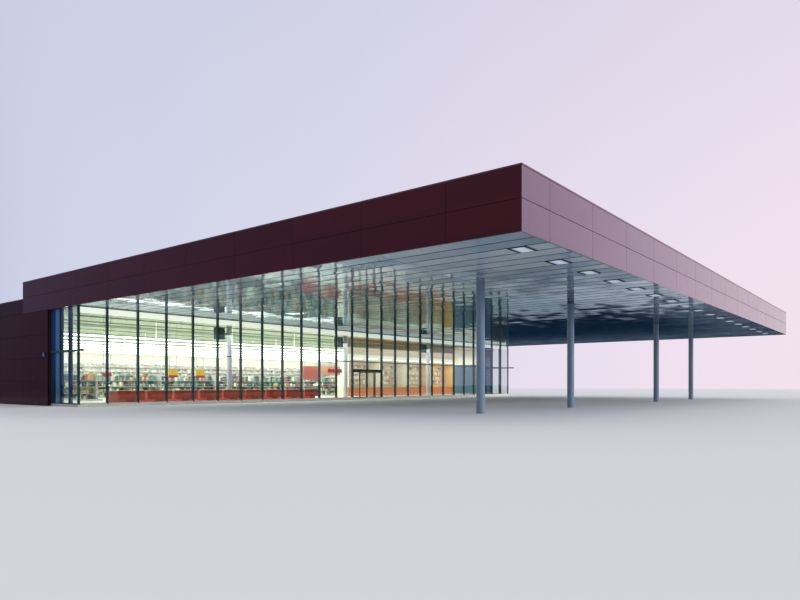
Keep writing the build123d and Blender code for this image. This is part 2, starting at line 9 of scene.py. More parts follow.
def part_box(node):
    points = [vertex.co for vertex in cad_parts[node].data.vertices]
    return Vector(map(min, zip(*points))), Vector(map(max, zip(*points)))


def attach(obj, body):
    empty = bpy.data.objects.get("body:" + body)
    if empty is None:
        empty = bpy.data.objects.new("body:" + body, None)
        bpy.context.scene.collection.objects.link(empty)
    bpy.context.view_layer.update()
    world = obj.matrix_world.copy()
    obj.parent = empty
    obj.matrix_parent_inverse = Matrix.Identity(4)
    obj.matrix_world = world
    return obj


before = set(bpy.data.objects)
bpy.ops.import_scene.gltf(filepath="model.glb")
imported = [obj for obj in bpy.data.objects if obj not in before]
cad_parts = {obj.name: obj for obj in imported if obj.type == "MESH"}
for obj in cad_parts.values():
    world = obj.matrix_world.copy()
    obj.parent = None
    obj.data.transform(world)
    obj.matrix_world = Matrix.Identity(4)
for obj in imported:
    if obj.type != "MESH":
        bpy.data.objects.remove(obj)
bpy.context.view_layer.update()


# Studio floor, background and light
# A pale floor that fades into a pale background, brighter towards the canopy's far corner. The light
# is soft and even, with one weak broad lamp from the same side. In mirrors alone the far floor is dark,
# as a dark card laid there would be, because the soffit mirrors a dark distance in the photo.
class Wire:
    """A node's output. Sums, products and comparisons on it add their Math nodes."""

    def __init__(self, finish, socket):
        self.finish = finish
        self.socket = socket

    def maths(self, operation, *parts):
        return self.finish.node("ShaderNodeMath", {"operation": operation}, dict(enumerate(parts)))

    def __add__(self, other):
        return self.maths("ADD", self, other)

    def __sub__(self, other):
        return self.maths("SUBTRACT", self, other)

    def __rsub__(self, other):
        return self.maths("SUBTRACT", other, self)

    def __mul__(self, other):
        return self.maths("MULTIPLY", self, other)

    def __gt__(self, other):
        return self.maths("GREATER_THAN", self, other)

    def __lt__(self, other):
        return self.maths("LESS_THAN", self, other)

    __radd__ = __add__
    __rmul__ = __mul__

    def floor(self):
        return self.maths("FLOOR", self)

    def rest(self):
        """What is left over the last whole number."""
        return self.maths("FRACT", self)

    def size(self):
        return self.maths("ABSOLUTE", self)

    def off_middle(self):
        """How far a place is from the middle of its whole-number cell, from 0 to 0.5."""
        return (self.rest() - 0.5).size()

    def rise(self, low, high):
        """0 below low and 1 above high, with a smooth slope between them."""
        return self.finish.node("ShaderNodeMapRange", {"interpolation_type": "SMOOTHSTEP"},
                                {"Value": self, "From Min": low, "From Max": high})


class Finish:
    """The nodes of a material or of the world."""

    def __init__(self, holder):
        holder.use_nodes = True
        self.holder = holder
        self.tree = holder.node_tree
        self.tree.nodes.clear()
        self.places = None

    def node(self, kind, settings=None, sockets=None, output=0):
        """Adds a node: first its settings, then the values and links of its sockets."""
        node = self.tree.nodes.new(kind)
        for name, value in (settings or {}).items():
            setattr(node, name, value)
        for name, value in (sockets or {}).items():
            if isinstance(value, Wire):
                self.tree.links.new(value.socket, node.inputs[name])
            else:
                node.inputs[name].default_value = value
        return Wire(self, node.outputs[output]) if node.outputs else node

    def place(self):
        """Where a point is on the object, in metres."""
        return self.node("ShaderNodeTexCoord", output="Object")

    def axis(self, name):
        if self.places is None:
            self.places = self.place()
        return self.node("ShaderNodeSeparateXYZ", sockets={0: self.places}, output=name)

    def point(self, x, y, z):
        return self.node("ShaderNodeCombineXYZ", sockets={0: x, 1: y, 2: z})

    def noise(self, scale, detail=2.0, stretch=(1, 1, 1)):
        """Soft noise about scale spots a metre, drawn out along an axis where stretch is below 1."""
        spread = self.node("ShaderNodeVectorMath", {"operation": "MULTIPLY"}, {0: self.place(), 1: stretch})
        return self.node("ShaderNodeTexNoise", sockets={"Vector": spread, "Scale": scale, "Detail": detail})

    def chance(self, vector):
        """One random number for each whole-number cell."""
        return self.node("ShaderNodeTexWhiteNoise", sockets={"Vector": vector})

    def blend(self, share, one, other):
        """The first colour where share is 0 and the second where it is 1."""
        return self.node("ShaderNodeMix", {"data_type": "RGBA"}, {0: share, 6: one, 7: other}, output=2)

    def bump(self, height):
        """A surface raised by height, in metres."""
        return self.node("ShaderNodeBump", sockets={"Strength": 1.0, "Distance": 1.0, "Height": height})

    def drift(self, along, row):
        """Soft noise along a row, and different on each row."""
        place = self.point(along, row * 7.3, 0.0)
        return self.node("ShaderNodeTexNoise", sockets={"Vector": place, "Scale": 1.0, "Detail": 1.0})

    def leaned(self, x, y, z):
        """The surface's normal, leaned by small slopes."""
        normal = self.node("ShaderNodeNewGeometry", output="Normal")
        total = self.node("ShaderNodeVectorMath", {"operation": "ADD"}, {0: normal, 1: self.point(x, y, z)})
        return self.node("ShaderNodeVectorMath", {"operation": "NORMALIZE"}, {0: total})

    def end(self, shader):
        """Joins the shader to the output, and gives the material or the world back."""
        kind = "World" if isinstance(self.holder, bpy.types.World) else "Material"
        self.node("ShaderNodeOutput" + kind, sockets={"Surface": shader})
        return self.holder

    def solid(self, sockets):
        """Ends in a plain surface shader."""
        return self.end(self.node("ShaderNodeBsdfPrincipled", sockets=sockets))


def material(name):
    return Finish(bpy.data.materials.new(name))


def paint(red, green, blue):
    """A shader colour from the three numbers of a paint chart, 0 to 255."""
    parts = [part / 255 for part in (red, green, blue)]
    return (*[part / 12.92 if part < 0.0405 else ((part + 0.055) / 1.055) ** 2.4 for part in parts], 1.0)


canopy_corner = (0.707, 0.707, 0)


def backdrop(finish, direction):
    """The background's colour in a direction: dimmer behind the hall's front, brighter past the canopy."""
    toward = finish.node("ShaderNodeVectorMath", {"operation": "DOT_PRODUCT"},
                         {0: direction, 1: canopy_corner}, output="Value")
    dim = finish.blend((toward + 1.0).rise(0.05, 0.7), paint(116, 126, 168), paint(208, 213, 234))
    pale = finish.blend(toward.rise(0.78, 0.98), paint(246, 228, 242), paint(222, 200, 246))
    return finish.blend((toward + 0.5).rise(0.0, 1.4), dim, pale)


light_path = "ShaderNodeLightPath"
world = bpy.data.worlds.new("studio")
bpy.context.scene.world = world
sky = Finish(world)
seen_from = sky.node("ShaderNodeTexCoord", output="Generated")
upward = sky.node("ShaderNodeSeparateXYZ", sockets={0: seen_from}, output="Z").rise(0.05, 0.9)
picture = sky.blend(upward * 0.6, backdrop(sky, seen_from), paint(190, 194, 216))
looked_at = (sky.node(light_path, output="Is Camera Ray") + sky.node(light_path, output="Is Glossy Ray")
             + sky.node(light_path, output="Is Transmission Ray"))
shown = sky.node("ShaderNodeBackground", sockets={"Color": picture, "Strength": 1.0})
glow = sky.node("ShaderNodeBackground", sockets={"Color": (0.93, 0.96, 1.0, 1), "Strength": 0.85})
sky.end(sky.node("ShaderNodeMixShader", sockets={0: looked_at > 0.5, 1: glow, 2: shown}))

floor_radius = 420
fade_start, fade_end = 34.0, 130.0
card_start, card_end = 20.0, 28.0
studio_floor_mesh = bmesh.new()
bmesh.ops.create_circle(studio_floor_mesh, cap_ends=True, segments=96, radius=floor_radius)


def piece(name, mesh, finish):
    """A finished object from a bmesh, at the origin and with one material."""
    data = bpy.data.meshes.new(name)
    mesh.to_mesh(data)
    mesh.free()
    data.materials.append(finish)
    made = bpy.data.objects.new(name, data)
    bpy.context.scene.collection.objects.link(made)
    return made


ground = material("studio_floor")
across = ground.node("ShaderNodeVectorMath", {"operation": "LENGTH"}, {0: ground.place()}, output="Value")
matt = ground.node("ShaderNodeBsdfDiffuse", sockets={"Color": paint(212, 212, 216)})
outward = ground.node("ShaderNodeVectorMath", {"operation": "NORMALIZE"}, {0: ground.place()})
far = ground.node("ShaderNodeEmission", sockets={"Color": backdrop(ground, outward), "Strength": 1.0})
pale_floor = ground.node("ShaderNodeMixShader",
                         sockets={0: across.rise(fade_start, fade_end), 1: matt, 2: far})
dark_card = ground.node("ShaderNodeEmission", sockets={"Color": paint(4, 38, 66), "Strength": 1.0})
card = across.rise(card_start, card_end) * ground.node(light_path, output="Is Glossy Ray")
ground.end(ground.node("ShaderNodeMixShader", sockets={0: card, 1: pale_floor, 2: dark_card}))
piece("studio_floor", studio_floor_mesh, ground.holder)


def lamp(name, kind, strength, place, aim, **settings):
    """A lamp that lights the scene and isn't itself seen."""
    data = bpy.data.lights.new(name, kind)
    data.energy = strength
    for key, value in settings.items():
        setattr(data, key, value)
    made = bpy.data.objects.new(name, data)
    made.location = place
    made.rotation_euler = (Vector(aim) - Vector(place)).to_track_quat("-Z", "Y").to_euler()
    made.visible_camera = False
    made.visible_glossy = False
    bpy.context.scene.collection.objects.link(made)


lamp("broad_lamp", "SUN", strength=2.6, place=(34, 15, 9.5), aim=(0, 0, 0), angle=math.radians(22),
     color=(1.0, 0.96, 0.97))


# Camera
# It stands on the ground outside the canopy's near corner, level and at eye height. The lens and the
# shift give the photo's frame.
camera_data = bpy.data.cameras.new("camera")
camera_data.lens = 28.87
camera_data.shift_y = 0.1055
camera_data.clip_end = 1000
camera = bpy.data.objects.new("camera", camera_data)
camera.location = (19.343, -21.755, 0.675)
camera.rotation_euler = (math.pi / 2, 0, math.radians(38.64))
bpy.context.scene.collection.objects.link(camera)
bpy.context.scene.camera = camera
bpy.context.scene.view_settings.view_transform = "Standard"


# Hall floor
# A ground concrete slab laid with pale square tiles in light grout, worn to a soft shine.
def dress(finish, *names):
    """Gives CAD nodes their material."""
    for name in names:
        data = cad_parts[name].data
        data.materials.clear()
        data.materials.append(finish)


tiles = material("floor_tiles")
tile, tile_edge = 0.15, 0.475
tile_x, tile_y = tiles.axis("X") * (1 / tile), tiles.axis("Y") * (1 / tile)
cross_grout = tile_x.off_middle() > tile_edge
grout = cross_grout.maths("MAXIMUM", cross_grout, tile_y.off_middle() > tile_edge)
tile_tone = tiles.chance(tiles.point(tile_x.floor(), tile_y.floor(), 0.0)) * 0.5 + tiles.noise(0.5) * 0.5
tile_colour = tiles.blend(tile_tone, paint(196, 192, 180), paint(219, 216, 205))
tiles.solid({"Base Color": tiles.blend(grout, tile_colour, paint(166, 163, 154)),
             "Roughness": tiles.noise(3.0) * 0.15 + 0.22,
             "Normal": tiles.bump((1 - grout) * 0.001)})
dress(tiles.holder, "floor_slab")


# Outer walls
# Concrete cores: painted white towards the shop, and dark where they show in the cladding's joints.
# Up to door height beside the returns they are a blue-grey paint. It is darker so that it also stands
# in for the dim light there, as painted shade.
walls = material("wall_core")
blue_start, blue_top, joint_depth = -5.2, 1.92, 0.004
inner_x, inner_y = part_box("hall_ceiling")[0].x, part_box("front_wall")[1].y
outside = (walls.axis("Y").size() > abs(inner_y) + joint_depth) + (walls.axis("X") < inner_x - joint_depth)
wall_white = walls.blend(walls.noise(1.5, 4.0), paint(226, 224, 214), paint(238, 236, 228))
# The blue-grey beside the returns is paint that is also painted shade for that dim corner.
wall_blue_and_shade = walls.blend(walls.noise(1.5, 4.0), paint(76, 104, 122), paint(88, 116, 134))
blue_shade_part = (walls.axis("X") > blue_start) * (walls.axis("Z") < blue_top)
wall_inside = walls.blend(blue_shade_part, wall_white, wall_blue_and_shade)
walls.solid({"Base Color": walls.blend(outside > 0.5, wall_inside, paint(66, 30, 38)),
             "Roughness": walls.noise(6.0) * 0.2 + 0.6,
             "Normal": walls.bump(walls.noise(60.0, 3.0) * 0.0008)})
dress(walls.holder, "front_wall", "rear_wall", "end_wall")


# Cladding and fascia
# Flush wine-red coated sheet panels on hidden rails, with narrow open joints and mitred corners. Each
# panel differs a little in tone and flatness, and rain leaves faint upright streaks.
open_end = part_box("open_end_fascia")[1].x
front_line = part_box("front_fascia")[0].y
wall_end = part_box("end_wall_cladding")[0].x
fascia_row, wall_row = 0.514, 0.745
first_long, long_panel, wall_panel = 1.4, 1.876, 1.855
first_cross, cross_panel = 0.97, 1.8
fascia_streak, wall_streak = (1, 1, 0.06), (1, 1, 0.05)


def red_sheet(name, cells, rows, streak, coat, coat_ior, gloss, depth=1.0):
    """Red sheet in panels. The function cells counts them along the building, and rows is their height."""
    red = material(name)
    # A factor below 1 darkens every red of the sheet, as painted shade.
    reds = [paint(*[part * depth for part in tone]) for tone in ((57, 6, 13), (64, 8, 15), (54, 12, 20))]
    along = cells(red)
    up = red.axis("Z") * (1 / rows)
    own = red.chance(red.point(along.floor(), up.floor(), 3.0))
    dirt = red.noise(7.0, 3.0, streak).rise(0.45, 0.8) * 0.35
    colour = red.blend(dirt, red.blend(own, reds[0], reds[1]), reds[2])
    slope = (own - 0.5) * 0.008
    swell = (red.noise(0.7, 1.0) - 0.5) * 0.016
    red.solid({"Base Color": colour,
               "Roughness": red.noise(2.0, 2.0) * 0.1 + 0.24,
               "Specular IOR Level": gloss,
               "Coat Weight": coat,
               "Coat Roughness": 0.05,
               "Coat IOR": coat_ior,
               "Normal": red.leaned(slope + swell, slope + swell, swell)})
    return red.holder


def cross_cells(red):
    """Panels across the building, counted from the front."""
    return (red.axis("Y") - front_line - first_cross) * (1 / cross_panel)


dress(red_sheet("red_fascia_long", lambda red: (red.axis("X") - open_end + first_long) * (1 / long_panel),
                fascia_row, fascia_streak, coat=0.28, coat_ior=1.7, gloss=0.1),
      "front_fascia", "rear_fascia")
dress(red_sheet("red_fascia_cross", cross_cells,
                fascia_row, fascia_streak, coat=1.0, coat_ior=2.2, gloss=0.5),
      "open_end_fascia", "step_fascia")
# The long wall cladding is the same red sheet with its reds darkened, as painted shade.
dress(red_sheet("red_wall_long", lambda red: (red.axis("X") - wall_end) * (1 / wall_panel),
                wall_row, wall_streak, coat=0.06, coat_ior=1.6, gloss=0.05, depth=0.78),
      "front_wall_cladding", "rear_wall_cladding")
dress(red_sheet("red_wall_end", cross_cells,
                wall_row, wall_streak, coat=0.8, coat_ior=1.7, gloss=0.2),
      "end_wall_cladding")


# Roof beams, girders and joists
# Rolled steel in grey shop primer, with a faint mill grain and dull scuffs.
steel = material("primed_steel")
steel.solid({"Base Color": steel.blend(steel.noise(2.5, 4.0), paint(104, 108, 110), paint(126, 129, 130)),
             "Roughness": steel.noise(9.0) * 0.25 + 0.45,
             "Normal": steel.bump(steel.noise(90.0, 2.0, (0.2, 1, 1)) * 0.0004)})
dress(steel.holder, "roof_girders", "roof_joists", "long_edge_beams", "cross_edge_beams")


# Roof decks
# A pale grey membrane welded in strips across the roof, with overlapping seams and dull water marks.
membrane = material("roof_membrane")
sheet_width, seam_edge = 1.0, 0.47
seam = (membrane.axis("X") * (1 / sheet_width)).off_middle() > seam_edge
stain = membrane.noise(0.35, 5.0).rise(0.45, 0.7)
top_colour = membrane.blend(stain, paint(158, 160, 160), paint(138, 141, 142))
membrane.solid({"Base Color": membrane.blend(seam, top_colour, paint(128, 131, 132)),
                "Roughness": stain * 0.15 + 0.6,
                "Normal": membrane.bump(seam * 0.002 + membrane.noise(3.0, 3.0) * 0.002)})
dress(membrane.holder, "high_roof_deck", "low_roof_deck")


# Roof caps
# Folded sheet caps in the fascia's red, dulled by weather, with a butt joint every three metres of the
# real building.
cap = material("roof_cap")
cap_length, cap_edge = 1.5, 0.496
cap_joint = ((cap.axis("X") + cap.axis("Y")) * (1 / cap_length)).off_middle() > cap_edge
cap_colour = cap.blend(cap.noise(4.0, 3.0), paint(66, 9, 18), paint(76, 13, 22))
cap.solid({"Base Color": cap.blend(cap_joint, cap_colour, paint(40, 14, 18)),
           "Roughness": cap.noise(5.0) * 0.15 + 0.3,
           "Coat Weight": 0.8,
           "Coat Roughness": 0.08,
           "Coat IOR": 1.7,
           "Normal": cap.bump(cap.noise(1.2, 2.0) * 0.002)})
dress(cap.holder, "roof_copings")


# Soffit
# Long strips of bright rolled metal that mirror the glass wall. They are laid in fields along the
# building, and each strip leans and bows a little, which breaks the mirror image up. The middle, away
# from the open edges, is painted darker as painted shade, and the outer edges lighter as painted light.
soffit_low, soffit_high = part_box("soffit_fields")
strip_count, joint_edge = 53, 0.45
strip_width = (soffit_high.y - soffit_low.y) / strip_count
mirror = material("soffit_strips")
lane = (mirror.axis("Y") - soffit_low.y) * (1 / strip_width)
along = mirror.axis("X")
tone = mirror.drift(along * 0.45, lane.floor()).rise(0.3, 0.7) * 0.6 + mirror.chance(lane.floor()) * 0.4
lean = (mirror.drift(along * 1.5, lane.floor() + 60.0) - 0.5) * 0.075
twist = (mirror.drift(along * 1.3, lane.floor() + 120.0) - 0.5) * 0.025
bow = (lane.rest() - 0.5) * 0.006
joint = lane.off_middle() > joint_edge
# One metal in a shaded and a lit colour: painted shade in the middle, painted light at the outer edges.
painted_shade_middle = (1 - mirror.axis("Y").size().rise(3.0, 12.5)) * (1 - along.rise(10.5, 14.0))
lit_metal = mirror.blend(tone, paint(122, 160, 186), paint(236, 246, 252))
shaded_metal = mirror.blend(tone, paint(58, 82, 96), paint(118, 138, 150))
metal_colour = mirror.blend(painted_shade_middle, lit_metal, shaded_metal)
mirror.solid({"Base Color": mirror.blend(joint, metal_colour, paint(12, 26, 32)),
              "Metallic": (1 - joint) * (painted_shade_middle * 0.62 + 0.38),
              "Specular Tint": (0.42, 0.56, 0.66, 1),
              "Roughness": mirror.noise(2.0, 3.0, (0.15, 4, 1)) * 0.05 + 0.03 + joint * 0.5,
              "Normal": mirror.leaned(twist, lean + bow, 0.0)})
dress(mirror.holder, "soffit_fields", "soffit_column_strip")


# Hall ceiling
# The underside of the roof's steel deck over the shop, painted a greenish white, with a fine rib
# along the building every few hand widths. Each rib is drawn darker, as painted shade.
ceiling = material("ceiling_deck")
rib_pitch = 0.15
rib_with_shade = (ceiling.axis("Y") * (1 / rib_pitch)).off_middle().rise(0.3, 0.42)
ceiling_tone = ceiling.blend(ceiling.noise(0.8, 3.0), paint(168, 182, 162), paint(186, 198, 178))
# The ribs' darker colour is painted shade.
ceiling.solid({"Base Color": ceiling.blend(rib_with_shade, ceiling_tone, paint(138, 154, 136)),
               "Roughness": ceiling.noise(5.0) * 0.15 + 0.5,
               "Normal": ceiling.bump(rib_with_shade * 0.006)})
dress(ceiling.holder, "hall_ceiling")


# Ceiling services
# Galvanised pipes and cable trays across the hall close under the ceiling, on short rod hangers.
services = material("galvanised_services")
zinc = services.blend(services.noise(1.5, 3.0), paint(112, 134, 120), paint(176, 190, 172))
services.solid({"Base Color": zinc,
                "Metallic": 0.4,
                "Roughness": services.noise(9.0, 3.0, (1, 0.2, 1)) * 0.2 + 0.4})
service_mesh = bmesh.new()
run_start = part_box("front_wall")[1].y + 0.15
first_run, run_count, run_pitch, run_shift = -0.7, 14, 0.94, 0.2
column_edge, column_radius, column_space, step_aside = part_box("hall_columns")[0].x, 0.1, 0.2, 0.3
drop_range = (0.1, 0.32)
tray_every, tray_half, tray_thick = 3, 0.06, 0.03
pipe_radii = (0.014, 0.02, 0.032)
hanger_spaces, hanger_half, hanger_shift = 12, 0.004, 0.11
random.seed(11)


def pipe(mesh, x, z, radius, start, end):
    """A closed round tube across the hall."""
    made = bmesh.ops.create_cone(mesh, cap_ends=True, segments=8, radius1=radius, radius2=radius,
                                 depth=end - start)
    turn = Matrix.Translation((x, (start + end) / 2, z)) @ Matrix.Rotation(math.pi / 2, 4, "X")
    bmesh.ops.transform(mesh, matrix=turn, verts=made["verts"])


def brick(mesh, low, high):
    """A plain block between two corners, as one part of a larger piece."""
    low, high = Vector(low), Vector(high)
    place = Matrix.Translation((low + high) / 2) @ Matrix.Diagonal((*(high - low), 1.0))
    return bmesh.ops.create_cube(mesh, size=1.0, matrix=place)["verts"]


for number in range(run_count):
    x = first_run - number * run_pitch + random.uniform(-run_shift, run_shift)
    if abs(x - column_edge - column_radius) < column_space:
        x -= step_aside
    level = soffit_low.z - random.uniform(*drop_range)
    if number % tray_every == tray_every - 1:
        brick(service_mesh, (x - tray_half, run_start, level),
              (x + tray_half, -run_start, level + tray_thick))
    else:
        pipe(service_mesh, x, level, random.choice(pipe_radii), run_start, -run_start)
    for step in range(1, hanger_spaces):
        y = run_start * (1 - 2 * step / hanger_spaces) + hanger_shift
        brick(service_mesh, (x - hanger_half, y, level), (x + hanger_half, y + 2 * hanger_half, soffit_low.z))
hung = piece("ceiling_services", service_mesh, services.holder)
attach(hung, "building")


# Columns
# Round steel tubes with a slightly orange-peeled coat, duller at hand height: pale grey in the hall.
# Under the canopy the same coat is painted a darker blue-grey, as painted shade.
tube = material("column_coat")
canopy_start = 5.0
touched = (tube.axis("Z") - 0.5).size().rise(0.2, 0.5)
hall_coat = tube.blend(tube.noise(2.0, 3.0, (1, 1, 0.2)), paint(176, 182, 186), paint(190, 195, 199))
# The darker blue-grey under the canopy is painted shade on the same coat.
shaded_canopy_coat = tube.blend(tube.noise(2.0, 3.0, (1, 1, 0.2)), paint(100, 122, 142), paint(112, 134, 154))
tube.solid({"Base Color": tube.blend(tube.axis("X") > canopy_start, hall_coat, shaded_canopy_coat),
            "Roughness": touched * -0.08 + 0.42,
            "Coat Weight": 0.3,
            "Coat Roughness": 0.2,
            "Normal": tube.bump(tube.noise(120.0, 2.0) * 0.0002)})
dress(tube.holder, "canopy_columns", "hall_columns")


# Posts, rails and door frames
# Aluminium profiles with a dark green-black coat, satin, with fine drawn lines along their length.
frames = material("dark_profiles")
frames.solid({"Base Color": frames.blend(frames.noise(3.0, 3.0), paint(16, 56, 60), paint(26, 68, 70)),
              "Roughness": frames.noise(14.0, 2.0, (1, 1, 0.05)) * 0.15 + 0.3,
              "Specular IOR Level": 0.3,
              "Normal": frames.bump(frames.noise(150.0, 2.0, (1, 1, 0.03)) * 0.0002)})
dress(frames.holder, "glass_wall_fins", "glass_wall_rail", "entrance_header", "entrance_side_frames",
      "left_door_frame", "right_door_frame")


# Glazed returns' frames
# The same profiles in a bluer coat. The lining of the wall's edge is red sheet, as the wall is. A
# rounded cover runs along the rail and a little past the corner.
ladders = material("return_profiles")
profile_half = 0.021
ladder_face = abs(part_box("return_panes")[0].y) + profile_half
lining = ladders.axis("Y").size() > ladder_face
ladder_colour = ladders.blend(ladders.noise(3.0, 3.0), paint(12, 54, 84), paint(20, 66, 98))
ladders.solid({"Base Color": ladders.blend(lining, ladder_colour, paint(50, 9, 18)),
               "Roughness": ladders.noise(14.0, 2.0, (1, 1, 0.05)) * 0.12 + 0.28,
               "Metallic": 0.2,
               "Normal": ladders.bump(ladders.noise(150.0, 2.0, (1, 1, 0.03)) * 0.0002)})
dress(ladders.holder, "return_frames")
cover_mesh = bmesh.new()
cover_stand_off, cover_depth = 0.012, 0.034
cover_below, cover_above, cover_start, cover_past = 0.01, 0.05, 0.01, 0.42
rail_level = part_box("glass_wall_rail")[0].z
return_low, return_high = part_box("return_frames")


def rounded(mesh, low, high, radius, segments):
    """A block between two corners, with rounded edges."""
    edges = dict.fromkeys(edge for vert in brick(mesh, low, high) for edge in vert.link_edges)
    bmesh.ops.bevel(mesh, geom=list(edges), offset=radius, affect="EDGES", segments=segments, profile=0.5,
                    material=-1)


for side in (-1, 1):
    face = side * (abs(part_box("return_panes")[0].y) + cover_stand_off)
    near, outer = sorted((face, face + side * cover_depth))
    rounded(cover_mesh, (return_low.x + cover_start, near, rail_level - cover_below),
            (return_high.x + cover_past, outer, rail_level + cover_above), radius=0.004, segments=2)
rail_covers = piece("return_rail_covers", cover_mesh, frames.holder)
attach(rail_covers, "building")


# Head box and sill
# A white coated sheet casing behind the top of the glass, and a pale cast concrete kerb below it. The
# casing glows as painted light, paler at one end, and a painted shadow runs along its top.
casing = material("head_casing")
casing_length, casing_edge, painted_shadow_height = 2.0, 0.497, 0.03
painted_light_end, painted_shade_end = -9.0, 11.0
casing_joint = (casing.axis("Y") * (1 / casing_length)).off_middle() > casing_edge
# A painted shadow along the casing's top, dark both in colour and in glow.
painted_shadow_band = casing.axis("Z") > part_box("glass_wall_head_box")[1].z - painted_shadow_height
box_colour = casing.blend(casing_joint, paint(236, 237, 230), paint(120, 122, 118))
# The casing's glow is painted light that fades from one end towards the other.
painted_glow = casing.blend(casing.axis("Y").rise(painted_light_end, painted_shade_end),
                        paint(250, 247, 232), paint(206, 206, 210))
casing.solid({"Base Color": casing.blend(painted_shadow_band, box_colour, paint(96, 112, 100)),
              "Roughness": casing.noise(4.0) * 0.12 + 0.32,
              "Emission Color": casing.blend(painted_shadow_band, painted_glow, paint(70, 84, 74)),
              "Emission Strength": 0.85,
              "Normal": casing.bump(casing.noise(2.0, 2.0) * 0.002)})
dress(casing.holder, "glass_wall_head_box")
kerb = material("sill_concrete")
kerb.solid({"Base Color": kerb.blend(kerb.noise(9.0, 5.0), paint(178, 178, 168), paint(204, 203, 193)),
            "Roughness": kerb.noise(20.0) * 0.2 + 0.6,
            "Normal": kerb.bump(kerb.noise(80.0, 4.0) * 0.0012)})
dress(kerb.holder, "glass_wall_sills")


# Glass
# Clear float glass with a slight green cast. It is thin for its size, so it shows as a clear sheet
# with a mirror image over it that grows towards a slanting view.
def clear_sheet(finish, shine):
    """A thin clear sheet with a mirror image on its front. The dictionary shine holds its sockets."""
    through = finish.node("ShaderNodeBsdfTransparent", sockets={"Color": (0.93, 0.965, 0.945, 1)})
    image = finish.node("ShaderNodeBsdfGlossy", sockets={"Color": (1, 1, 1, 1), "Roughness": 0.0, **shine})
    facing = 1 - finish.node("ShaderNodeNewGeometry", output="Backfacing")
    share = finish.node("ShaderNodeFresnel", sockets={"IOR": 1.55}) * facing
    return finish.node("ShaderNodeMixShader", sockets={0: share, 1: through, 2: image})


glass = material("clear_glass")
glass.end(clear_sheet(glass, {"Normal": glass.bump(glass.noise(0.5, 1.0) * 0.004)}))
dress(glass.holder, "glass_wall_lower_panes", "glass_wall_upper_panes", "entrance_side_glass",
      "left_door_glass", "right_door_glass")


# Glazed returns' panes
# The same glass. The pane beside the wall is enamelled blue on its back, with a paler stripe.
edging = material("return_glass")
blue_width, stripe_middle, stripe_half = 0.6, -1.28, 0.14
blue_pane = edging.axis("X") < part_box("return_panes")[0].x + blue_width
stripe = (edging.axis("X") - stripe_middle).size() < stripe_half
deep_blue = edging.blend(edging.axis("Z").rise(0.3, 1.8), paint(6, 40, 60), paint(12, 62, 112))
enamel = edging.node("ShaderNodeBsdfPrincipled", sockets={
    "Base Color": edging.blend(stripe, deep_blue, paint(58, 96, 128)), "Roughness": 0.12})
edging.end(edging.node("ShaderNodeMixShader", sockets={0: blue_pane, 1: clear_sheet(edging, {}), 2: enamel}))
dress(edging.holder, "return_panes")


# Soffit lights
# Square trays set in the soffit, each with a dark rim and a white diffuser between two louvred ends.
rims = material("light_rims")
rims.solid({"Base Color": rims.blend(rims.noise(20.0), paint(28, 36, 38), paint(40, 48, 50)),
            "Metallic": 0.4,
            "Roughness": rims.noise(30.0) * 0.1 + 0.35})
dress(rims.holder, "soffit_lights")
tray_low, tray_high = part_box("soffit_lights")
diffuser_mesh = bmesh.new()
louvre_mesh = bmesh.new()
rim, strip_margin, end_part, sheet = 0.013, 0.022, 0.04, 0.003
first_blade, blade_count, blade_pitch, blade_thick, blade_below = 0.004, 4, 0.013, 0.003, 0.002
lit_left, lit_right = tray_low.x + rim, tray_high.x - rim
recess = 0.0025
foot = tray_low.z + recess
first_lit, last_lit, lit_step = 2, 50, 3
for strip_number in range(first_lit, last_lit + 1, lit_step):
    lit_front = soffit_low.y + strip_width * strip_number + strip_margin + rim
    lit_back = soffit_low.y + strip_width * (strip_number + 1) - strip_margin - rim
    rounded(diffuser_mesh, (lit_left + end_part, lit_front, foot),
            (lit_right - end_part, lit_back, foot + sheet), radius=0.001, segments=1)
    for start in (lit_left, lit_right - end_part):
        for blade in range(blade_count):
            x = start + first_blade + blade * blade_pitch
            brick(louvre_mesh, (x, lit_front, foot - blade_below), (x + blade_thick, lit_back, foot + sheet))
lit = material("light_diffuser")
middle = lit.axis("X") - (lit_left + lit_right) / 2
fade_from, fade_to = 0.02, 0.13
even = 1 - middle.size().rise(fade_from, fade_to)
lit.solid({"Base Color": paint(178, 190, 200),
           "Roughness": 0.4,
           "Emission Color": lit.blend(even, paint(84, 100, 118), paint(146, 160, 178)),
           "Emission Strength": 0.8})
diffusers = piece("soffit_light_diffusers", diffuser_mesh, lit.holder)
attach(diffusers, "building")
louvres = piece("soffit_light_louvres", louvre_mesh, rims.holder)
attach(louvres, "building")


# Hall lights
# Long lines of tube fittings across the hall, each a white tray over warm white tubes. Two broad lamps
# give the light that they throw down, and what the floor throws back up.
tubes = material("hall_light_lines")
hall_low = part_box("hall_light_lines")[0]
tube_height, tube_length, tube_edge = 0.03, 0.78, 0.485
# The tray above the tubes glows dimly too, as painted light.
tray_zone = tubes.axis("Z") > hall_low.z + tube_height
socket_gap = (tubes.axis("Y") * (1 / tube_length)).off_middle() > tube_edge
bright = tubes.blend(socket_gap, paint(250, 249, 240), paint(190, 188, 174))
tubes.solid({"Base Color": paint(232, 230, 220),
             "Roughness": 0.5,
             "Emission Color": tubes.blend(tray_zone, bright, paint(120, 116, 104)),
             "Emission Strength": 6.0})
dress(tubes.holder, "hall_light_lines")
lamp_middle, lamp_width, lamp_length = -7.0, 13.0, 24.0
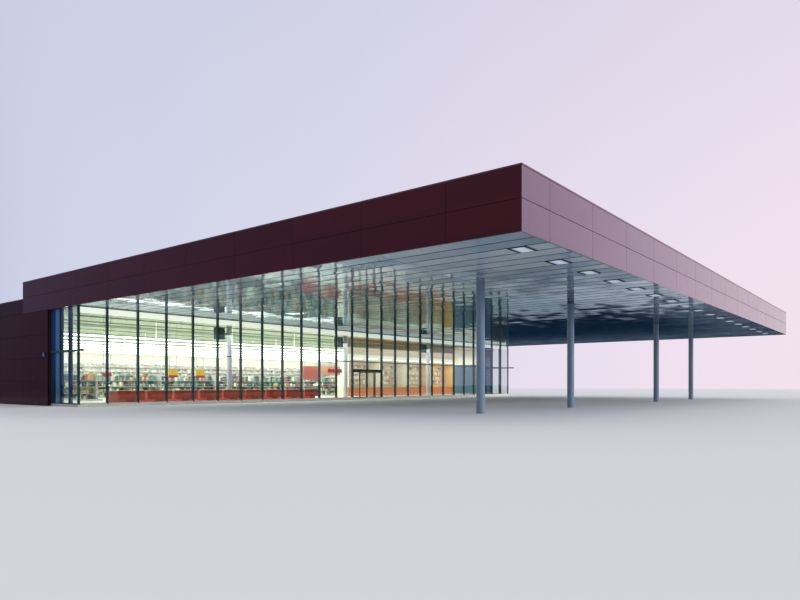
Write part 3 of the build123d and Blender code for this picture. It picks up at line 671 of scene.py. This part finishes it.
# Each lamp's name, its height, its power and the height that it points at.
for name, height, power, aim in (("hall_lamp_down", hall_low.z + 0.25, 3250, 0.0),
                                 ("hall_lamp_up", 1.3, 380, 3.0)):
    lamp(name, "AREA", power, (lamp_middle, 0, height), (lamp_middle, 0, aim), shape="RECTANGLE",
         size=lamp_width, size_y=lamp_length, color=(1.0, 0.99, 0.98))


# Air units
# Sheet metal casings on an arm beside the hall columns, dark teal, with slots on their faces.
casing_dark = material("air_unit_casing")
slot_pitch = 0.03
slot_mask = (casing_dark.axis("Z") * (1 / slot_pitch)).off_middle().rise(0.2, 0.3)
casing_dark.solid({"Base Color": casing_dark.blend(slot_mask, paint(58, 84, 88), paint(24, 36, 40)),
                   "Roughness": casing_dark.noise(8.0) * 0.1 + 0.38,
                   "Metallic": 0.2,
                   "Normal": casing_dark.bump(slot_mask * -0.004)})
dress(casing_dark.holder, "column_air_units")


# Wall lamps
# Small cast housings beside the glazed returns, with a slanting opal glass below.
lamp_body = material("wall_lamp")
lamp_glass_height = 0.1
lamp_glass = lamp_body.axis("Z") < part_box("wall_lamps")[0].z + lamp_glass_height
lamp_body.solid({"Base Color": lamp_body.blend(lamp_glass, paint(36, 66, 100), paint(66, 104, 144)),
                 "Roughness": lamp_body.noise(40.0) * 0.1 + 0.25,
                 "Coat Weight": 0.5})
dress(lamp_body.holder, "wall_lamps")


# Shop shelves
# Double sided steel shelving in a light grey coat, with goods in packs along every board. Plain boards
# with paler packs run along the end wall.
shelving = material("shelf_coat")
shelving.solid({"Base Color": shelving.blend(shelving.noise(3.0), paint(150, 158, 150), paint(172, 178, 168)),
                "Roughness": shelving.noise(12.0) * 0.1 + 0.35,
                "Normal": shelving.bump(shelving.noise(60.0) * 0.0003)})
dress(shelving.holder, "shelf_rows")
shelf_low, shelf_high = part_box("shelf_rows")
random.seed(7)
goods_mesh = bmesh.new()


def stock(mesh, packs):
    """Adds a board's packs, each from its two corners and its colour."""
    board_mesh = bmesh.new()
    pack_colour = board_mesh.loops.layers.float_color.new("pack_colour")
    for low, high, tone in packs:
        for vert in brick(board_mesh, low, high):
            for loop in vert.link_loops:
                loop[pack_colour] = tone
    board_data = bpy.data.meshes.new("board")
    board_mesh.to_mesh(board_data)
    board_mesh.free()
    mesh.from_mesh(board_data)
    bpy.data.meshes.remove(board_data)


shelf_tones = [paint(*tone) for tone in (
    (146, 52, 44), (172, 146, 74), (44, 86, 72), (48, 78, 104), (172, 180, 160), (24, 44, 42),
    (76, 124, 116), (190, 198, 182), (144, 94, 64), (34, 62, 60), (108, 128, 112), (126, 146, 126))]
wall_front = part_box("front_wall")[1].y
row_count, level_count, level_pitch = 9, 4, 0.25
board_thick, foot_height = 0.014, 0.06
back_gap, pack_gap, top_factor = 0.02, 0.012, 1.3
pack_widths, pack_heights, pack_depths = (0.06, 0.2), (0.08, 0.2), (0.13, 0.18)
row_start_gap, row_end_gap = 0.02, 0.3
for row in range(1, row_count + 1):
    y = wall_front + (-2 * wall_front) * row / (row_count + 1)
    for side in (-1, 1):
        for level in range(level_count):
            board = shelf_low.z + level_pitch * level + (foot_height if level == 0 else board_thick)
            x = shelf_low.x + row_start_gap
            row_packs = []
            while x < shelf_high.x - row_end_gap:
                width = random.uniform(*pack_widths)
                height = random.uniform(*pack_heights) * (1.0 if level < level_count - 1 else top_factor)
                deep = random.uniform(*pack_depths)
                tone = random.choice(shelf_tones)
                near, far_side = sorted((y + side * back_gap, y + side * (back_gap + deep)))
                row_packs.append(((x, near, board), (x + width - pack_gap, far_side, board + height), tone))
                x += width
            stock(goods_mesh, row_packs)
end_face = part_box("end_wall")[1].x
wall_levels, lowest_board, wall_margin, let_in = 7, 0.1, 0.6, 0.002
board_depth, wall_pack_widths, wall_end_gap = 0.22, (0.07, 0.2), 0.8
wall_pack_back, wall_pack_front, wall_pack_gap = 0.01, 0.18, 0.01
paler_share, paler_lift = 0.5, 0.32
for level in range(wall_levels):
    board = lowest_board + level_pitch * level
    top = board + board_thick
    wall_packs = [((end_face - let_in, wall_front + wall_margin, board),
                   (end_face + board_depth, -wall_front - wall_margin, top), paint(206, 206, 196))]
    y = wall_front + wall_margin
    while y < -wall_front - wall_end_gap:
        width = random.uniform(*wall_pack_widths)
        tone = [paler_share * part + paler_lift for part in random.choice(shelf_tones)]
        wall_packs.append(((end_face + wall_pack_back, y, top),
                           (end_face + wall_pack_front, y + width - wall_pack_gap,
                            top + random.uniform(*pack_heights)), tone))
        y += width
    stock(goods_mesh, wall_packs)
packs = material("goods_packs")
own_tone = packs.node("ShaderNodeAttribute", {"attribute_name": "pack_colour"}, output="Color")
band_pitch, band_share = 0.125, 0.15
band = ((packs.axis("Z") - shelf_low.z) * (1 / band_pitch)).rest().rise(0.55, 0.6)
packs.solid({"Base Color": packs.blend(band * band_share, own_tone, paint(206, 212, 200)),
             "Roughness": packs.noise(5.0) * 0.3 + 0.3})
goods = piece("shop_goods", goods_mesh, packs.holder)
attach(goods, "building")


# Till desks
# Steel framed desks with orange-red front panels, pale grey worktops and a satin coat.
desks = material("till_desks")
desk_low, desk_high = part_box("checkout_counters")
panel_height, panel_thick = 0.362, 0.032
worktop = desks.axis("Z") > desk_low.z + panel_height
front_end = desks.axis("X") > desk_high.x - panel_thick
orange = desks.blend(desks.noise(3.0, 3.0), paint(178, 56, 26), paint(196, 70, 34))
desks.solid({"Base Color": desks.blend(worktop * (1 - front_end), orange, paint(150, 150, 146)),
             "Roughness": desks.noise(6.0) * 0.12 + 0.32,
             "Normal": desks.bump(desks.noise(80.0) * 0.0003)})
dress(desks.holder, "checkout_counters")


# Kiosks
# A board front in warm brown with an orange band along its top. Under it are small shops with cream
# walls, which glow faintly as painted light, goods on boards and timber counters. Strip lamps stand off
# the front on short brackets.
kiosks = material("kiosk_boards")
kiosk_low, kiosk_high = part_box("kiosk_row")
front_thick = 0.082
is_board = kiosks.axis("X") > kiosk_high.x - front_thick
high_up = kiosks.axis("Z")
counter_top, shop_top, pale_top, band_foot, band_end = 0.53, 1.89, 2.2, 2.84, 8.6
warm_start, warm_full, deep_start, painted_light_over = 8.9, 9.2, 10.3, 0.01
grain = kiosks.noise(5.0, 4.0, (1, 0.12, 1))
board_colour = kiosks.blend(grain, paint(146, 134, 116), paint(164, 150, 130))
orange_part = (high_up > band_foot) * (kiosks.axis("Y") < band_end)
board_colour = kiosks.blend(orange_part, board_colour, paint(206, 132, 76))
board_colour = kiosks.blend(high_up < pale_top, board_colour, paint(180, 186, 166))
counter = kiosks.blend(grain, paint(178, 104, 60), paint(198, 124, 76))
warm = kiosks.axis("Y").rise(warm_start, warm_full)
pale_wall = kiosks.blend(kiosks.noise(2.0, 3.0), paint(206, 200, 174), paint(220, 214, 188))
warm_wall = kiosks.blend(kiosks.axis("Y") > deep_start, paint(222, 172, 96), paint(232, 194, 124))
inside = kiosks.blend(warm, pale_wall, warm_wall)
colour = kiosks.blend(is_board * (high_up > shop_top), inside, board_colour)
colour = kiosks.blend(is_board * (high_up < counter_top), colour, counter)
# The shops' inner walls glow faintly in their own colour, as painted light.
painted_light_part = (1 - is_board) * (high_up > counter_top) * (high_up < shop_top + painted_light_over)
kiosks.solid({"Base Color": colour,
              "Roughness": grain * 0.15 + 0.4,
              "Emission Color": kiosks.blend(painted_light_part, paint(0, 0, 0), inside),
              "Emission Strength": 0.15,
              "Normal": kiosks.bump(grain * 0.0006)})
dress(kiosks.holder, "kiosk_row")
kiosk_goods = bmesh.new()
kiosk_tones = [paint(*tone) for tone in (
    (190, 150, 112), (208, 184, 136), (178, 136, 110), (226, 218, 190), (160, 166, 146), (236, 226, 190),
    (226, 214, 176))]
kiosk_lamps = bmesh.new()
shop_count = 4
kiosk_pitch = (kiosk_high.y - kiosk_low.y) / shop_count
first_pack = 0.1
shop_shelves, shelf_foot, shelf_pitch = 4, 0.7, 0.27
shelf_back, shelf_front, shelf_before, shelf_after = 0.048, 0.19, 0.09, 0.11
kiosk_pack_widths, kiosk_pack_gap, kiosk_end_gap = (0.08, 0.22), 0.03, 0.35
kiosk_pack_back, kiosk_pack_front = 0.05, 0.17
lamp_places, lamp_half, lamp_foot, lamp_top = (0.5, 1.7), 0.4, 1.95, 2.03
lamp_back, lamp_front = kiosk_high.x + 0.01, kiosk_high.x + 0.06
bracket_half, bracket_foot, bracket_top, bracket_reach = 0.01, 1.98, 2.0, 0.012
for shop in range(shop_count):
    start = kiosk_low.y + kiosk_pitch * shop + first_pack
    for shelf in range(shop_shelves):
        y = start
        base = shelf_foot + shelf * shelf_pitch
        shelf_packs = [((kiosk_low.x + shelf_back, start - shelf_before, base - board_thick),
                        (kiosk_low.x + shelf_front, start + kiosk_pitch - shelf_after, base),
                        paint(206, 200, 176))]
        while y < start + kiosk_pitch - kiosk_end_gap:
            width, height = random.uniform(*kiosk_pack_widths), random.uniform(*pack_heights)
            tone = random.choice(kiosk_tones)
            shelf_packs.append(((kiosk_low.x + kiosk_pack_back, y, base),
                                (kiosk_low.x + kiosk_pack_front, y + width, base + height), tone))
            y += width + kiosk_pack_gap
        stock(kiosk_goods, shelf_packs)
    for place in lamp_places:
        y = start + place
        brick(kiosk_lamps, (lamp_back, y - lamp_half, lamp_foot), (lamp_front, y + lamp_half, lamp_top))
        brick(kiosk_lamps, (kiosk_high.x, y - bracket_half, bracket_foot),
              (kiosk_high.x + bracket_reach, y + bracket_half, bracket_top))
strip_lamps = material("kiosk_lamps")
tube_colour = strip_lamps.blend(strip_lamps.noise(2.0), paint(200, 202, 186), paint(214, 214, 198))
strip_lamps.solid({"Base Color": tube_colour,
                   "Roughness": 0.5,
                   "Emission Color": paint(226, 228, 206),
                   "Emission Strength": 0.8})
shop_packs = piece("kiosk_goods", kiosk_goods, packs.holder)
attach(shop_packs, "building")
kiosk_lights = piece("kiosk_lights", kiosk_lamps, strip_lamps.holder)
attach(kiosk_lights, "building")


# Hanging boards over the tills
# Plain panels on thin rods from the ceiling: two yellow ones over a red strip, a wide and a small
# red one, and a salmon and a pale orange one beside the entrance. Their faces are bare, and they glow
# faintly in their own colours, as painted light.
sign_mesh = bmesh.new()
rod_mesh = bmesh.new()
sign_half, rod_half, rod_share = 0.012, 0.004, 0.75
# Each board's x, the middle of its width, half its width, its lower edge and its height.
yellow_1, yellow_2 = (-1.04, -9.08, 0.18, 0.92, 0.3), (-1.04, -7.98, 0.19, 0.92, 0.3)
small_red, wide_red = (-1.04, -11.45, 0.15, 0.93, 0.11), (-1.04, -0.96, 0.44, 1.2, 0.17)
salmon, pale_orange = (-1.04, -2.45, 0.45, 0.87, 0.6), (-1.14, -1.15, 0.62, 1.08, 0.42)
for x, y, half, z, tall in (yellow_1, yellow_2, small_red, wide_red, salmon, pale_orange):
    rounded(sign_mesh, (x - sign_half, y - half, z), (x + sign_half, y + half, z + tall),
            radius=0.003, segments=1)
    for side in (-rod_share * half, rod_share * half):
        brick(rod_mesh, (x - rod_half, y + side - rod_half, z + tall),
              (x + rod_half, y + side + rod_half, soffit_low.z))
signs = material("hanging_boards")
sign_y = signs.axis("Y")
strip_top, yellow_end, small_red_end = 1.0, -3.0, -10.0
salmon_start, salmon_end, wide_red_start, pale_front = -3.0, -1.98, -2.0, -1.09
red_strip = (signs.axis("Z") < strip_top) * (sign_y < yellow_end)
red_part = red_strip + (sign_y < small_red_end) + (sign_y > wide_red_start)
pale_sign = signs.axis("X") < pale_front
salmon_sign = (sign_y > salmon_start) * (sign_y < salmon_end)
sign_colour = signs.blend(signs.noise(6.0), paint(236, 198, 40), paint(244, 210, 62))
sign_colour = signs.blend(red_part > 0.5, sign_colour, paint(200, 52, 42))
sign_colour = signs.blend(salmon_sign, sign_colour, paint(220, 124, 94))
sign_colour = signs.blend(pale_sign, sign_colour, paint(234, 186, 146))
# The boards' glow in their own colour is painted light.
signs.solid({"Base Color": sign_colour,
             "Roughness": signs.noise(9.0) * 0.1 + 0.35,
             "Emission Color": sign_colour,
             "Emission Strength": 0.3})
boards = piece("hanging_boards", sign_mesh, signs.holder)
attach(boards, "building")
rods = piece("hanging_board_rods", rod_mesh, services.holder)
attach(rods, "building")
